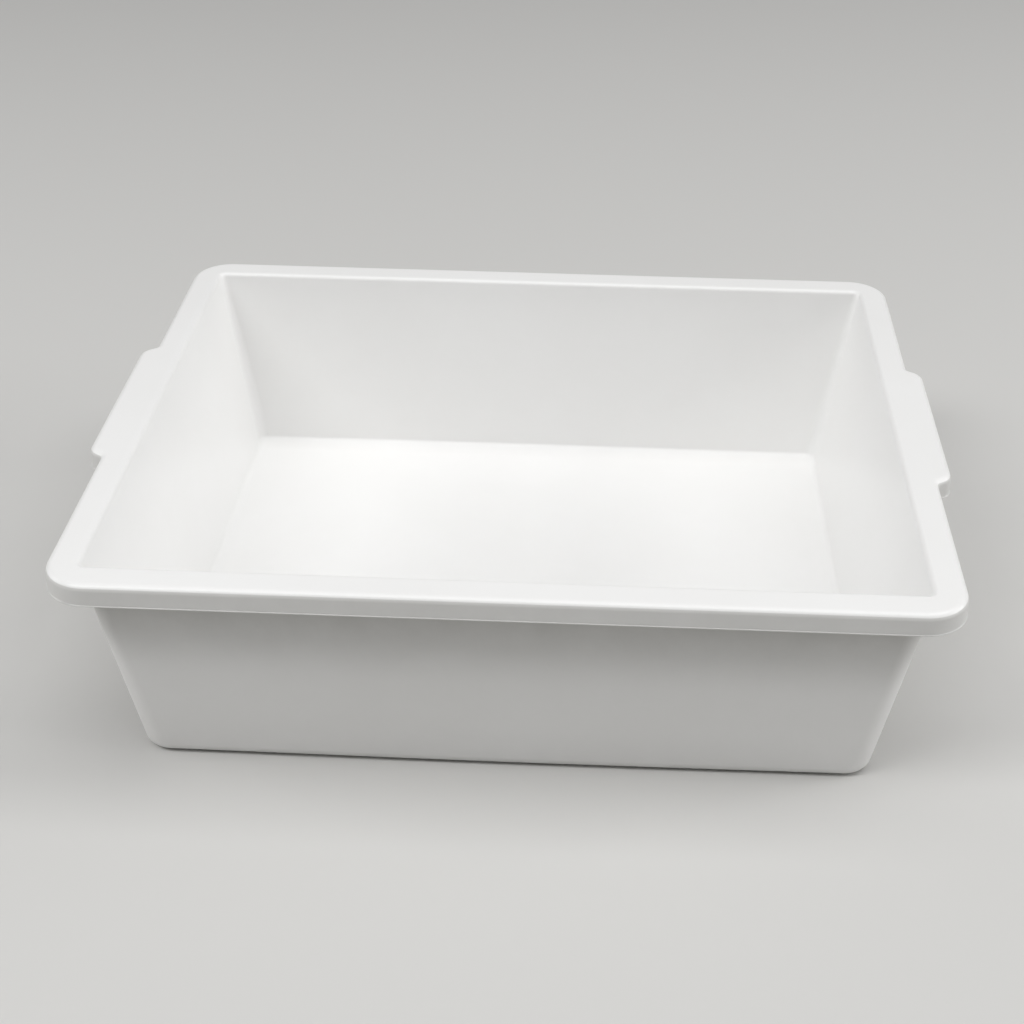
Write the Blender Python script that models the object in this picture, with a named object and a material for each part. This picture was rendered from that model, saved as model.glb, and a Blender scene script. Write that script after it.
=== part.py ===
"""A deep photographic developing tray, moulded in one piece of white plastic.

Tapered walls rise from a flat floor to a wide flat rim, whose outer edge turns down into a skirt all the
way round. The rim widens into a grip tab in the middle of each short end.

Frame: metres, +Z up. The origin is on the surface that the tray stands on, under its middle. +X runs along
the tray's length, from one grip tab to the other.
"""

import math

import bmesh
import bpy

MM = 0.001

# Driving dimensions
RIM_LENGTH = 500 * MM  # between the outer edges of the rim's short ends, without the grip tabs
RIM_WIDTH = 426 * MM  # between the outer edges of the rim's long sides
HEIGHT = 135.5 * MM  # from the surface that the tray stands on to the rim's top
OPENING_LENGTH = 462 * MM  # inner faces of the end walls, carried up to the rim's top
OPENING_WIDTH = 386 * MM  # inner faces of the side walls, carried up to the rim's top
FLOOR_LENGTH = 418.5 * MM  # inner faces of the end walls, carried down to the floor
FLOOR_WIDTH = 363 * MM  # inner faces of the side walls, carried down to the floor
WALL = 3.5 * MM  # thickness of the walls, the floor and the rim
SKIRT_HEIGHT = 13.2 * MM  # from the rim's top to the skirt's lower edge
SKIRT_THICKNESS = 2.8 * MM
SKIRT_FLARE = 0.8 * MM  # how far the skirt's lower edge stands out from its upper edge
TAB_REACH = 9.2 * MM  # how far a grip tab stands out from the rim's short end
TAB_HALF_STRAIGHT = 61 * MM  # half of the straight part of a grip tab's edge

# Corners seen from above
RIM_CORNER = 26 * MM
OPENING_CORNER = 4 * MM  # inner walls, at the rim's top
FLOOR_CORNER = 8 * MM  # inner walls, at the floor
UNDER_RIM_CORNER = 10.5 * MM  # outer walls, under the rim
BASE_CORNER = 16.5 * MM  # outer walls, at the floor's height
TAB_OUTER_CORNER = 11 * MM
TAB_INNER_CORNER = 4 * MM
TAB_TURN = math.radians(55)  # how far the tab's outline turns from its edge to its flank

# Roundings of the edges
FLOOR_FILLET = 4.5 * MM  # height of the fillets between the floor and the walls
SIDE_FILLET_RUN = 3.4  # how much further the side walls' fillets reach across the floor than the end walls'
BASE_FILLET = 7.5 * MM
OPENING_ROUNDING = 3 * MM
RIM_ROUNDING = 4 * MM
SKIRT_ROUNDING = 0.8 * MM

# How finely curves are divided
CORNER_STEPS = 8
TAB_STEPS = 4
ROUNDING_STEPS = 4
SKIRT_STEPS = 2

DEPTH = HEIGHT - WALL
END_SLOPE = (OPENING_LENGTH - FLOOR_LENGTH) / 2 / DEPTH
SIDE_SLOPE = (OPENING_WIDTH - FLOOR_WIDTH) / 2 / DEPTH
WHITE = (0.84, 0.84, 0.82, 1.0)


def arc(centre, radius, first, last, steps):
    """Points of an arc between two angles in radians, both ends included."""
    angles = [first + (last - first) * i / steps for i in range(steps + 1)]
    return [(centre[0] + radius * math.cos(a), centre[1] + radius * math.sin(a)) for a in angles]


def quarter_round(radius, steps):
    """(distance short of the upright face, distance from the flat face) of points along a rounded edge."""
    angles = [math.pi / 2 * i / steps for i in range(steps + 1)]
    return [(radius * (1 - math.sin(a)), radius * (1 - math.cos(a))) for a in angles]


def mirrored(quadrant):
    """A closed outline, from its points between the +X and the +Y axis with both ends included."""
    half = quadrant + [(-x, y) for x, y in reversed(quadrant[:-1])]
    return half + [(x, -y) for x, y in reversed(half[1:-1])]


def tab_outline(inset):
    """Half of a grip tab's edge moved inwards, from its middle to the straight edge of the rim."""
    edge = RIM_LENGTH / 2
    both_corners = TAB_OUTER_CORNER + TAB_INNER_CORNER
    flank_reach = TAB_REACH - both_corners * (1 - math.cos(TAB_TURN))
    run = both_corners * math.sin(TAB_TURN) + flank_reach / math.tan(TAB_TURN)
    outer_centre = (edge + TAB_REACH - TAB_OUTER_CORNER, TAB_HALF_STRAIGHT)
    inner_centre = (edge + TAB_INNER_CORNER, TAB_HALF_STRAIGHT + run)
    outer = arc(outer_centre, TAB_OUTER_CORNER - inset, 0, TAB_TURN, TAB_STEPS)
    inner = arc(inner_centre, TAB_INNER_CORNER + inset, math.pi + TAB_TURN, math.pi, TAB_STEPS)
    return [(edge + TAB_REACH - inset, 0), *outer, *inner]


def rim_outline(inset):
    """The rim's outer edge with its grip tabs, moved inwards."""
    centre = (RIM_LENGTH / 2 - RIM_CORNER, RIM_WIDTH / 2 - RIM_CORNER)
    corner = arc(centre, RIM_CORNER - inset, 0, math.pi / 2, CORNER_STEPS)
    return mirrored([*tab_outline(inset), *corner, (0, RIM_WIDTH / 2 - inset)])


def wall_outline(half_length, half_width, radius):
    """A rounded rectangle with as many points as the rim's edge, each opposite one of the rim's."""
    end = [(half_length, y) for _, y in tab_outline(0)]
    corner = arc((half_length - radius, half_width - radius), radius, 0, math.pi / 2, CORNER_STEPS)
    return mirrored([*end, *corner, (0, half_width)])


def stand_off(gap, radius, slope):
    """How far a rounding stands off a sloping wall, at a gap above or below the flat face it leads to."""
    lean = math.atan(slope)
    if gap >= radius * (1 - math.sin(lean)):
        return 0.0
    centre = radius / math.cos(lean) - radius * slope
    return centre - math.sqrt(radius**2 - (radius - gap) ** 2) + gap * slope


def wall_ring(height, thickness, rounding, corners):
    """A ring on a wall's face, a thickness and then a rounding(slope, run) out from the inner face."""
    low_corner, high_corner = corners
    rise = height - WALL
    end_shift = rounding(END_SLOPE, 1)
    side_shift = rounding(SIDE_SLOPE, SIDE_FILLET_RUN)
    half_length = FLOOR_LENGTH / 2 + rise * END_SLOPE + thickness * math.hypot(1, END_SLOPE) + end_shift
    half_width = FLOOR_WIDTH / 2 + rise * SIDE_SLOPE + thickness * math.hypot(1, SIDE_SLOPE) + side_shift
    corner = low_corner + (high_corner - low_corner) * rise / DEPTH + max(end_shift, side_shift)
    return wall_outline(half_length, half_width, corner), height


def inner_ring(height):
    """A ring on the inner wall, its floor fillet or the rounding over which it meets the rim's top."""

    def rounding(slope, run):
        opening = stand_off(HEIGHT - height, OPENING_ROUNDING, slope)
        return opening - run * stand_off(height - WALL, FLOOR_FILLET, slope)

    return wall_ring(height, 0, rounding, (FLOOR_CORNER, OPENING_CORNER))


def outer_ring(height):
    """A ring on the outer wall or on the rounding round the base."""

    def rounding(slope, _):
        return -stand_off(height, BASE_FILLET, slope)

    return wall_ring(height, WALL, rounding, (BASE_CORNER, UNDER_RIM_CORNER))


def skirt_ring(inset, height):
    """A ring on the rim's outer edge or on the flaring skirt below it."""
    flare = SKIRT_FLARE * (HEIGHT - height) / SKIRT_HEIGHT
    return rim_outline(inset - flare), height


def profile():
    """Rings from the floor up the inner wall, over the rim, round the skirt and down the outer wall."""
    floor_fillet = quarter_round(FLOOR_FILLET, ROUNDING_STEPS)
    opening = quarter_round(OPENING_ROUNDING, ROUNDING_STEPS)
    rim_edge = quarter_round(RIM_ROUNDING, ROUNDING_STEPS)
    skirt_edge = quarter_round(SKIRT_ROUNDING, SKIRT_STEPS)
    base_edge = quarter_round(BASE_FILLET, ROUNDING_STEPS)
    skirt_end = HEIGHT - SKIRT_HEIGHT
    rings = [inner_ring(WALL + rise) for _, rise in floor_fillet]
    rings += [inner_ring(HEIGHT - drop) for _, drop in reversed(opening)]
    rings += [skirt_ring(inset, HEIGHT - drop) for inset, drop in rim_edge]
    rings += [skirt_ring(inset, skirt_end + rise) for inset, rise in reversed(skirt_edge)]
    rings += [skirt_ring(SKIRT_THICKNESS - inset, skirt_end + rise) for inset, rise in skirt_edge]
    rings += [skirt_ring(SKIRT_THICKNESS, HEIGHT - WALL), outer_ring(HEIGHT - WALL)]
    return rings + [outer_ring(rise) for _, rise in reversed(base_edge)]


def lofted(name, rings):
    """A closed solid through rings with equally many points, capped at its first and last ring."""
    shape = bmesh.new()
    loops = [[shape.verts.new((x, y, height)) for x, y in outline] for outline, height in rings]
    for here, there in zip(loops, loops[1:]):
        for i in range(len(here)):
            shape.faces.new((here[i - 1], here[i], there[i], there[i - 1]))
    shape.faces.new(loops[0])
    shape.faces.new(loops[-1])
    bmesh.ops.recalc_face_normals(shape, faces=shape.faces)
    mesh = bpy.data.meshes.new(name)
    shape.to_mesh(mesh)
    shape.free()
    mesh.shade_smooth()
    mesh.set_sharp_from_angle(angle=math.radians(40))
    body = bpy.data.objects.new(name, mesh)
    bpy.context.scene.collection.objects.link(body)
    return body


def white_plastic():
    """Satin white plastic."""
    material = bpy.data.materials.new("white_plastic")
    material.use_nodes = True
    shader = material.node_tree.nodes["Principled BSDF"]
    shader.inputs["Base Color"].default_value = WHITE
    shader.inputs["Roughness"].default_value = 0.35
    return material


def main():
    for old in list(bpy.data.objects):
        bpy.data.objects.remove(old)
    tray = lofted("tray", profile())
    tray.data.materials.append(white_plastic())


main()
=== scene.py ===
"""The looks of the developing tray: a finely shaped white moulding on a pale floor under soft studio light.

Metres, +Z up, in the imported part's frame: the origin is on the surface that the tray stands on, under its
middle, and +X runs along the tray's length.
"""

import math

import bmesh
import bpy
from mathutils import Matrix, Vector


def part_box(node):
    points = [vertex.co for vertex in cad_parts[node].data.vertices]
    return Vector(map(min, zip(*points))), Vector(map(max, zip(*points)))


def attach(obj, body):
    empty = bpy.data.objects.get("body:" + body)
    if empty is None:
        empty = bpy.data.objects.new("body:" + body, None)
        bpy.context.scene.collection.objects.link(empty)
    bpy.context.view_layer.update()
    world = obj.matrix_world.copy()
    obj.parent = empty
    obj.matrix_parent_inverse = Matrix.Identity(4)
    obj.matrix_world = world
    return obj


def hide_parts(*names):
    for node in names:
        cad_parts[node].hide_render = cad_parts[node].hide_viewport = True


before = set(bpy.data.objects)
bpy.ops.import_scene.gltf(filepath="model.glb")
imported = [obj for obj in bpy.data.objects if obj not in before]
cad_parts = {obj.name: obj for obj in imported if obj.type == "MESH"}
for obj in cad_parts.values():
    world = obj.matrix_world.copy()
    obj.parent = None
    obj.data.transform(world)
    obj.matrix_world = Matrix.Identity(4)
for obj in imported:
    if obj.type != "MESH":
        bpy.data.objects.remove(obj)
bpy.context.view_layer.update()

MM = 0.001
NODE = "tray"
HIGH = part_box(NODE)[1]

# The moulding's shape, as in the part
WALL = 3.5 * MM
SKIRT_HEIGHT = 13.2 * MM
SKIRT_THICKNESS = 2.8 * MM
SKIRT_FLARE = 0.8 * MM
TAB_REACH = 9.2 * MM
TAB_HALF_STRAIGHT = 61 * MM
TAB_OUTER_CORNER = 11 * MM
TAB_INNER_CORNER = 4 * MM
TAB_TURN = math.radians(55)
END_RIM = 19 * MM
SIDE_RIM = 20 * MM
END_LEAN = 21.75 * MM
SIDE_LEAN = 11.5 * MM
RIM_CORNER = 26 * MM
OPENING_CORNER = 4 * MM
FLOOR_CORNER = 8 * MM
UNDER_RIM_CORNER = 10.5 * MM
BASE_CORNER = 16.5 * MM
FLOOR_FILLET = 4.5 * MM
SIDE_FILLET_RUN = 3.4
BASE_FILLET = 7.5 * MM
OPENING_ROUNDING = 3 * MM
RIM_ROUNDING = 4 * MM

HEIGHT = HIGH[2]
RIM_LENGTH = 2 * (HIGH[0] - TAB_REACH - SKIRT_FLARE)
RIM_WIDTH = 2 * (HIGH[1] - SKIRT_FLARE)
FLOOR_LENGTH = RIM_LENGTH - 2 * (END_RIM + END_LEAN)
FLOOR_WIDTH = RIM_WIDTH - 2 * (SIDE_RIM + SIDE_LEAN)
DEPTH = HEIGHT - WALL
END_SLOPE = END_LEAN / DEPTH
SIDE_SLOPE = SIDE_LEAN / DEPTH

# What only shows close up
SKIRT_ROUNDING = 0.7 * MM
SKIRT_ROOT = 1.2 * MM  # fillet between the skirt and the rim's underside
RIM_ROOT = 2.5 * MM  # fillet between the rim's underside and the walls
SIDE_BULGE = 1.2 * MM  # how far the middles of the long walls swell out near the floor
END_BULGE = 0.6 * MM
SKIRT_BEAD = 0.4 * MM  # how far the bead along the skirt's lower edge stands out
BEAD_STEPS = (1, 0.7, 0.3)  # heights on the slope that leads to the bead's face, in shares of SKIRT_BEAD
SMALLEST_CORNER = 0.3 * MM
SHADE_OUTSIDE = 0.22  # share of painted shade low on the outer walls, where 1 is close under the rim
SHADE_SKIRT = 0.6  # share of the painted shade on the skirt
SHADE_FULL = 24 * MM  # depth below the rim's top down to which the outer walls carry all of it
SHADE_END = 75 * MM  # depth from which they carry the least
SHADE_FADE = 1.7  # how much faster than evenly it thins out at first between the two depths
FLAT_MARGIN = 5 * MM  # strip of floor and base that keeps their shading flat beside the fillets

# How finely the moulding is divided
CORNER_STEPS = 24
TAB_STEPS = 12
ROUNDING_STEPS = 10
SMALL_STEPS = 5
WALL_STEPS = 24
TAB_PARTS = 7
SHOULDER_PARTS = 11
SIDE_PARTS = 25
FACE_AREA_WEIGHT = 100  # the most: the largest faces set the normals, so that they look flat

# White plastic. A noise is given by its scale, detail and roughness.
GRAIN = (1100, 3, 0.6)
WAVES = (14, 1, 0.5)
CLOUD = (9, 4, 0.6)
PATCHES = (38, 5, 0.65)
GRAIN_DEPTH = 0.012 * MM
WAVES_DEPTH = 0.12 * MM
NARROW = (0.35, 0.65)  # parts of a noise's range that are spread over all of what it drives
WIDE = (0.3, 0.7)
PLASTIC_TONES = ((0.925, 0.922, 0.912), (0.94, 0.938, 0.93))
# colour of the painted shade on the outer walls and skirt, darker where the rim shades them
SHADE_TONE = (0.52, 0.515, 0.495)
PATCH_SHADE = (0.85, 1)  # least and most share of a place's painted shade, from patch to patch
SHEEN = (0.285, 0.315)  # roughness, kept clear of 0.27: a range across it gives flakes in a denoised render
REFRACTION = 1.5

# Camera
CAMERA_PLACE = (52.3 * MM, -979.8 * MM, 666.6 * MM)
CAMERA_TURN = math.radians(2.105)
CAMERA_TILT = math.radians(31.795)
CAMERA_ROLL = math.radians(0.805)
LENS = 62.07  # mm, as is the sensor's width
SENSOR = 36
SHIFT = (-0.0350, 0.0015)

# Light
SOFTBOX_HEIGHT = 3.4
SOFTBOX_SIZE = (2.0, 1.4)
OVERHEAD = {  # x, y and power in watts
    "softbox_left_front": (-2.1, -1.6, 56),
    "softbox_front": (0.0, -1.2, 33),
    "softbox_middle": (0.0, 0.2, 11.5),
    "softbox_right": (2.1, 0.2, 35),
}
SIDE_PANEL_SIZE = (2.8, 2.0)
SIDE_PANELS = {"panel_left": (-4.0, 40), "panel_right": (4.0, 64)}  # x and power in watts
SIDE_PANEL_HEIGHT = 1.6
AMBIENT = 0.1
WHITE = (1, 1, 1, 1)
FLOOR_SIZE = 40
FLOOR_GAP = 0.1 * MM  # keeps the floor off the tray's base
FLOOR_COLOUR = (0.65, 0.645, 0.63, 1)
FLOOR_ROUGHNESS = 0.9

# A mix node's colour sockets, whose names its other sockets share
MIX_COLOURS = (6, 7)
MIX_RESULT = 2


def arc(centre, radius, first, last, steps):
    """Points of an arc between two angles in radians, both ends included."""
    angles = [first + (last - first) * i / steps for i in range(steps + 1)]
    return [(centre[0] + radius * math.cos(a), centre[1] + radius * math.sin(a)) for a in angles]


def quarter_round(radius, steps=ROUNDING_STEPS):
    """(distance short of the upright face, distance from the flat face) of points along a rounded edge."""
    angles = [math.pi / 2 * i / steps for i in range(steps + 1)]
    return [(radius * (1 - math.sin(a)), radius * (1 - math.cos(a))) for a in angles]


def divided(first, last, parts):
    """Points that divide a straight run into equal parts, its last point left out."""
    return [tuple(Vector(first).lerp(Vector(last), i / parts)) for i in range(parts)]


def mirrored(quadrant):
    """A closed outline, from its points between the +X and the +Y axis with both ends included."""
    half = quadrant + [(-x, y) for x, y in reversed(quadrant[:-1])]
    return half + [(x, -y) for x, y in reversed(half[1:-1])]


def outline(end, corner, side_middle):
    """A closed outline from one quadrant's end, corner and last point, its straight runs divided."""
    points = divided(end[0], end[1], TAB_PARTS) + end[1:-1]
    points += divided(end[-1], corner[0], SHOULDER_PARTS) + corner[:-1]
    return mirrored([*points, *divided(corner[-1], side_middle, SIDE_PARTS), side_middle])


def tab_outline(inset):
    """Half of a grip tab's edge moved inwards, from its middle to the straight edge of the rim."""
    edge = RIM_LENGTH / 2
    both_corners = TAB_OUTER_CORNER + TAB_INNER_CORNER
    flank_reach = TAB_REACH - both_corners * (1 - math.cos(TAB_TURN))
    run = both_corners * math.sin(TAB_TURN) + flank_reach / math.tan(TAB_TURN)
    outer_centre = (edge + TAB_REACH - TAB_OUTER_CORNER, TAB_HALF_STRAIGHT)
    inner_centre = (edge + TAB_INNER_CORNER, TAB_HALF_STRAIGHT + run)
    outer = arc(outer_centre, TAB_OUTER_CORNER - inset, 0, TAB_TURN, TAB_STEPS)
    inner = arc(inner_centre, TAB_INNER_CORNER + inset, math.pi + TAB_TURN, math.pi, TAB_STEPS)
    return [(edge + TAB_REACH - inset, 0), *outer, *inner]


def rim_outline(inset):
    """The rim's outer edge with its grip tabs, moved inwards."""
    centre = (RIM_LENGTH / 2 - RIM_CORNER, RIM_WIDTH / 2 - RIM_CORNER)
    corner = arc(centre, RIM_CORNER - inset, 0, math.pi / 2, CORNER_STEPS)
    return outline(tab_outline(inset), corner, (0, RIM_WIDTH / 2 - inset))


def wall_outline(half_length, half_width, radius):
    """A rounded rectangle with as many points as the rim's edge, each opposite one of the rim's."""
    end = [(half_length, y) for _, y in tab_outline(0)]
    corner = arc((half_length - radius, half_width - radius), radius, 0, math.pi / 2, CORNER_STEPS)
    return outline(end, corner, (0, half_width))


def stand_off(gap, radius, slope):
    """How far a rounding stands off a sloping wall, at a gap above or below the flat face it leads to."""
    lean = math.atan(slope)
    if gap >= radius * (1 - math.sin(lean)):
        return 0.0
    centre = radius / math.cos(lean) - radius * slope
    return centre - math.sqrt(radius**2 - (radius - gap) ** 2) + gap * slope


def wall_ring(height, thickness, rounding, corners):
    """A ring on a wall's face, a thickness and then a rounding(slope, run) out from the inner face."""
    low_corner, high_corner = corners
    rise = height - WALL
    end_shift = rounding(END_SLOPE, 1)
    side_shift = rounding(SIDE_SLOPE, SIDE_FILLET_RUN)
    half_length = FLOOR_LENGTH / 2 + rise * END_SLOPE + thickness * math.hypot(1, END_SLOPE) + end_shift
    half_width = FLOOR_WIDTH / 2 + rise * SIDE_SLOPE + thickness * math.hypot(1, SIDE_SLOPE) + side_shift
    corner = low_corner + (high_corner - low_corner) * rise / DEPTH + max(end_shift, side_shift)
    return wall_outline(half_length, half_width, max(corner, SMALLEST_CORNER)), height


def inner_ring(height, margin=0.0):
    """A ring on the inner wall, the floor fillet or its margin, or the rounding up to the rim's top."""

    def rounding(slope, run):
        opening = stand_off(HEIGHT - height, OPENING_ROUNDING, slope)
        return opening - run * stand_off(height - WALL, FLOOR_FILLET, slope) - margin

    return wall_ring(height, 0, rounding, (FLOOR_CORNER, OPENING_CORNER))


def outer_ring(height, margin=0.0):
    """A ring on the outer wall, the fillet under the rim, the rounding round the base or its margin."""

    def rounding(slope, _):
        root = stand_off(HEIGHT - WALL - height, RIM_ROOT, slope)
        return root - stand_off(height, BASE_FILLET, slope) - margin

    return wall_ring(height, WALL, rounding, (BASE_CORNER, UNDER_RIM_CORNER))


def skirt_ring(inset, height):
    """A ring on the rim's outer edge, the flaring skirt below it or the bead along the skirt's edge."""
    flare = (SKIRT_FLARE - SKIRT_BEAD) * (HEIGHT - height) / SKIRT_HEIGHT
    return rim_outline(inset - flare), height


def between(first, last):
    """Heights spread evenly between two others, which are left out."""
    return [first + (last - first) * i / WALL_STEPS for i in range(1, WALL_STEPS)]


def inner_rings():
    """From the floor up the inner wall to the rim's top."""
    heights = [WALL + rise for _, rise in quarter_round(FLOOR_FILLET)]
    heights += between(WALL + FLOOR_FILLET, HEIGHT - OPENING_ROUNDING)
    heights += [HEIGHT - drop for _, drop in reversed(quarter_round(OPENING_ROUNDING))]
    return [inner_ring(WALL, FLAT_MARGIN)] + [inner_ring(height) for height in heights]


def rim_rings():
    """Over the rim's rounded edge, down the skirt and back up inside it to the rim's underside."""
    lower_edge = quarter_round(SKIRT_ROUNDING, SMALL_STEPS)
    root = quarter_round(SKIRT_ROOT, SMALL_STEPS)
    bead = [(SKIRT_BEAD * (1 - share), SKIRT_BEAD * share) for share in BEAD_STEPS]
    skirt_end = HEIGHT - SKIRT_HEIGHT
    under_rim = HEIGHT - WALL
    rings = [skirt_ring(inset, HEIGHT - drop) for inset, drop in quarter_round(RIM_ROUNDING)]
    rings += [skirt_ring(-stand, skirt_end + SKIRT_ROUNDING + rise) for stand, rise in bead]
    rings += [skirt_ring(inset - SKIRT_BEAD, skirt_end + rise) for inset, rise in reversed(lower_edge)]
    rings += [skirt_ring(SKIRT_THICKNESS - inset, skirt_end + rise) for inset, rise in lower_edge]
    return rings + [skirt_ring(SKIRT_THICKNESS + inset, under_rim - drop) for inset, drop in reversed(root)]


def outer_rings():
    """From the rim's underside down the outer wall to the base."""
    under_rim = HEIGHT - WALL
    heights = [under_rim - drop for _, drop in quarter_round(RIM_ROOT)]
    heights += between(under_rim - RIM_ROOT, BASE_FILLET)
    heights += [rise for _, rise in reversed(quarter_round(BASE_FILLET))]
    return [outer_ring(height) for height in heights] + [outer_ring(0, FLAT_MARGIN)]


def painted_shade(part, height):
    """How much painted shade a ring carries: none inside or on top, most outside close under the rim, where
    the rim shades the walls.
    """
    if part == "inside" or height > HEIGHT - RIM_ROUNDING / 2:
        return 0.0
    if part == "rim":
        return SHADE_SKIRT
    shelter = (height - HEIGHT + SHADE_END) / (SHADE_END - SHADE_FULL)
    return SHADE_OUTSIDE + (1 - SHADE_OUTSIDE) * min(max(shelter, 0), 1) ** SHADE_FADE


def swollen(x, y, height):
    """A point moved by the walls' slight outward swelling, most at their middles near the floor."""
    reach = max(0.0, 1 - height / (HEIGHT - SKIRT_HEIGHT))
    low = math.sin(math.pi / 2 * reach) ** 2
    across = math.cos(math.pi * x / RIM_LENGTH) ** 2
    along = math.cos(math.pi * y / RIM_WIDTH) ** 2
    side = math.copysign(SIDE_BULGE * across * low, y) * (abs(y) > FLOOR_WIDTH / 4)
    end = math.copysign(END_BULGE * along * low, x) * (abs(x) > FLOOR_LENGTH / 4)
    return (x + end * (1 - across), y + side * (1 - along), height)


def lofted(name, parts):
    """A closed solid through rings with equally many points, capped at its first and last ring."""
    rings = [ring for part in parts for ring in parts[part]]
    painted_shades = [painted_shade(part, height) for part in parts for points, height in parts[part] for _ in points]
    shape = bmesh.new()
    loops = [[shape.verts.new(swollen(x, y, height)) for x, y in points] for points, height in rings]
    for here, there in zip(loops, loops[1:]):
        for i in range(len(here)):
            shape.faces.new((here[i - 1], here[i], there[i], there[i - 1]))
    shape.faces.new(loops[0])
    shape.faces.new(loops[-1])
    bmesh.ops.recalc_face_normals(shape, faces=shape.faces)
    mesh = bpy.data.meshes.new(name)
    shape.to_mesh(mesh)
    shape.free()
    # each point's share of painted shade, which the material reads
    mesh.attributes.new("painted_shade", "FLOAT", "POINT").data.foreach_set("value", painted_shades)
    mesh.shade_smooth()
    body = bpy.data.objects.new(name, mesh)
    bpy.context.scene.collection.objects.link(body)
    body.modifiers.new("flat_faces_first", "WEIGHTED_NORMAL").weight = FACE_AREA_WEIGHT
    return body


class Nodes:
    """Short calls for building a material's node tree."""

    def __init__(self, name):
        self.material = bpy.data.materials.new(name)
        self.material.use_nodes = True
        self.tree = self.material.node_tree
        self.shader = self.tree.nodes["Principled BSDF"]

    def add(self, kind, **inputs):
        node = self.tree.nodes.new(kind)
        for key, value in inputs.items():
            self.feed(node.inputs[key], value)
        return node

    def feed(self, socket, value):
        if isinstance(value, bpy.types.NodeSocket):
            self.tree.links.new(value, socket)
        else:
            socket.default_value = value

    def noise(self, place, scale, detail, roughness):
        node = self.add("ShaderNodeTexNoise", Vector=place, Scale=scale, Detail=detail, Roughness=roughness)
        return node.outputs["Fac"]

    def ramp(self, value, source, target):
        """A value carried from one range over to another, outside which it never goes."""
        node = self.add("ShaderNodeMapRange", Value=value)
        for key, number in zip(("From Min", "From Max", "To Min", "To Max"), (*source, *target)):
            node.inputs[key].default_value = number
        return node.outputs["Result"]

    def product(self, first, second):
        node = self.add("ShaderNodeMath", Value=first)
        node.operation = "MULTIPLY"
        self.feed(node.inputs[1], second)
        return node.outputs["Value"]

    def bump(self, height, depth, normal=None):
        node = self.add("ShaderNodeBump", Height=height, Strength=1.0, Distance=depth)
        if normal is not None:
            self.feed(node.inputs["Normal"], normal)
        return node.outputs["Normal"]

    def blend(self, factor, first, second):
        node = self.tree.nodes.new("ShaderNodeMix")
        node.data_type = "RGBA"
        self.feed(node.inputs["Factor"], factor)
        for index, colour in zip(MIX_COLOURS, (first, second)):
            linked = isinstance(colour, bpy.types.NodeSocket)
            self.feed(node.inputs[index], colour if linked else (*colour, 1))
        return node.outputs[MIX_RESULT]


def white_plastic():
    """Satin white plastic: fine moulded grain, slow waves left by shrinkage, a slightly uneven sheen, and
    painted shade on the outer walls and skirt under the rim.
    """
    nodes = Nodes("white_plastic")
    place = nodes.tree.nodes.new("ShaderNodeTexCoord").outputs["Object"]
    grain, waves, cloud, patches = [nodes.noise(place, *kind) for kind in (GRAIN, WAVES, CLOUD, PATCHES)]
    plastic_tone = nodes.blend(nodes.ramp(cloud, NARROW, (0, 1)), *PLASTIC_TONES)
    # painted shade: the colour is blended toward a darker tone by each point's share, most close under the
    # rim
    share = nodes.tree.nodes.new("ShaderNodeAttribute")
    share.attribute_name = "painted_shade"
    shade_amount = nodes.product(share.outputs["Fac"], nodes.ramp(patches, WIDE, PATCH_SHADE))
    shader = nodes.shader
    nodes.feed(shader.inputs["Base Color"], nodes.blend(shade_amount, plastic_tone, SHADE_TONE))
    nodes.feed(shader.inputs["Roughness"], nodes.ramp(patches, NARROW, SHEEN))
    nodes.feed(shader.inputs["Normal"], nodes.bump(grain, GRAIN_DEPTH, nodes.bump(waves, WAVES_DEPTH)))
    nodes.feed(shader.inputs["IOR"], REFRACTION)
    return nodes.material


def pale_floor():
    nodes = Nodes("pale_floor")
    nodes.feed(nodes.shader.inputs["Base Color"], FLOOR_COLOUR)
    nodes.feed(nodes.shader.inputs["Roughness"], FLOOR_ROUGHNESS)
    return nodes.material


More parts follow.
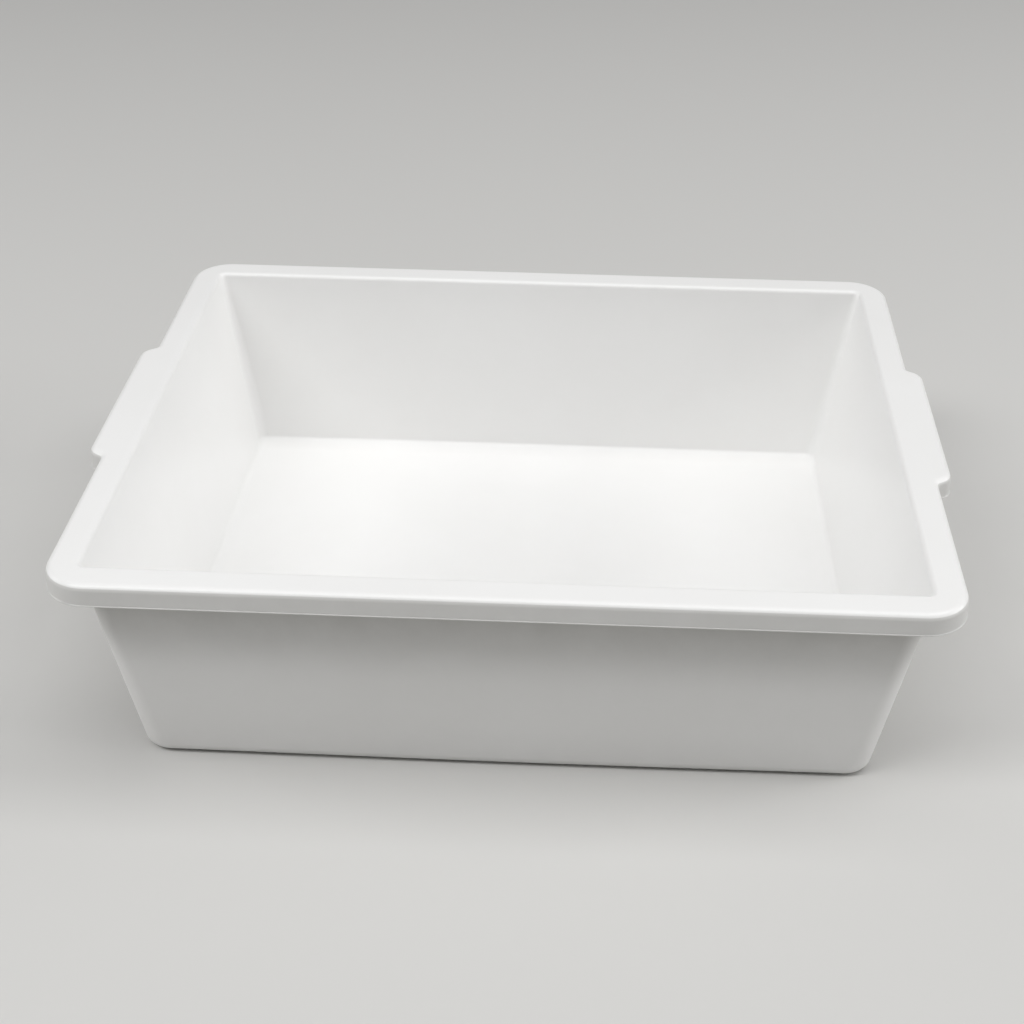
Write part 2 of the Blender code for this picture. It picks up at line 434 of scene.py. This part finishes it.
def make_tray():
    parts = {"inside": inner_rings(), "rim": rim_rings(), "outside": outer_rings()}
    tray = lofted("tray_moulding", parts)
    tray.data.materials.append(white_plastic())
    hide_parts(NODE)
    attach(tray, "root")


def make_floor():
    bpy.ops.mesh.primitive_plane_add(size=FLOOR_SIZE, location=(0, 0, -FLOOR_GAP))
    floor = bpy.context.object
    floor.name = "studio_floor"
    floor.data.materials.append(pale_floor())


def make_camera():
    lens = bpy.data.cameras.new("camera")
    lens.sensor_width = SENSOR
    lens.lens = LENS
    lens.shift_x, lens.shift_y = SHIFT
    camera = bpy.data.objects.new("camera", lens)
    bpy.context.scene.collection.objects.link(camera)
    turn = Matrix.Rotation(CAMERA_TURN, 4, "Z")
    tilt = Matrix.Rotation(math.pi / 2 - CAMERA_TILT, 4, "X")
    roll = Matrix.Rotation(CAMERA_ROLL, 4, "Z")
    camera.matrix_world = Matrix.Translation(CAMERA_PLACE) @ turn @ tilt @ roll
    bpy.context.scene.camera = camera


def softbox(name, place, target, size, power):
    """A rectangular area light that faces a target."""
    light = bpy.data.lights.new(name, "AREA")
    light.shape = "RECTANGLE"
    light.size, light.size_y = size
    light.energy = power
    lamp = bpy.data.objects.new(name, light)
    lamp.location = place
    lamp.rotation_euler = (Vector(target) - Vector(place)).to_track_quat("-Z", "Y").to_euler()
    bpy.context.scene.collection.objects.link(lamp)


def make_light():
    """Soft light from above, a panel at each side and a little even light from everywhere."""
    for name, (x, y, power) in OVERHEAD.items():
        softbox(name, (x, y, SOFTBOX_HEIGHT), (x, y, 0), SOFTBOX_SIZE, power)
    for name, (x, power) in SIDE_PANELS.items():
        softbox(name, (x, 0, SIDE_PANEL_HEIGHT), (0, 0, HEIGHT), SIDE_PANEL_SIZE, power)
    world = bpy.data.worlds.new("studio")
    world.use_nodes = True
    background = world.node_tree.nodes["Background"]
    background.inputs["Color"].default_value = WHITE
    background.inputs["Strength"].default_value = AMBIENT
    bpy.context.scene.world = world
    bpy.context.scene.view_settings.view_transform = "Standard"


make_tray()
make_floor()
make_camera()
make_light()
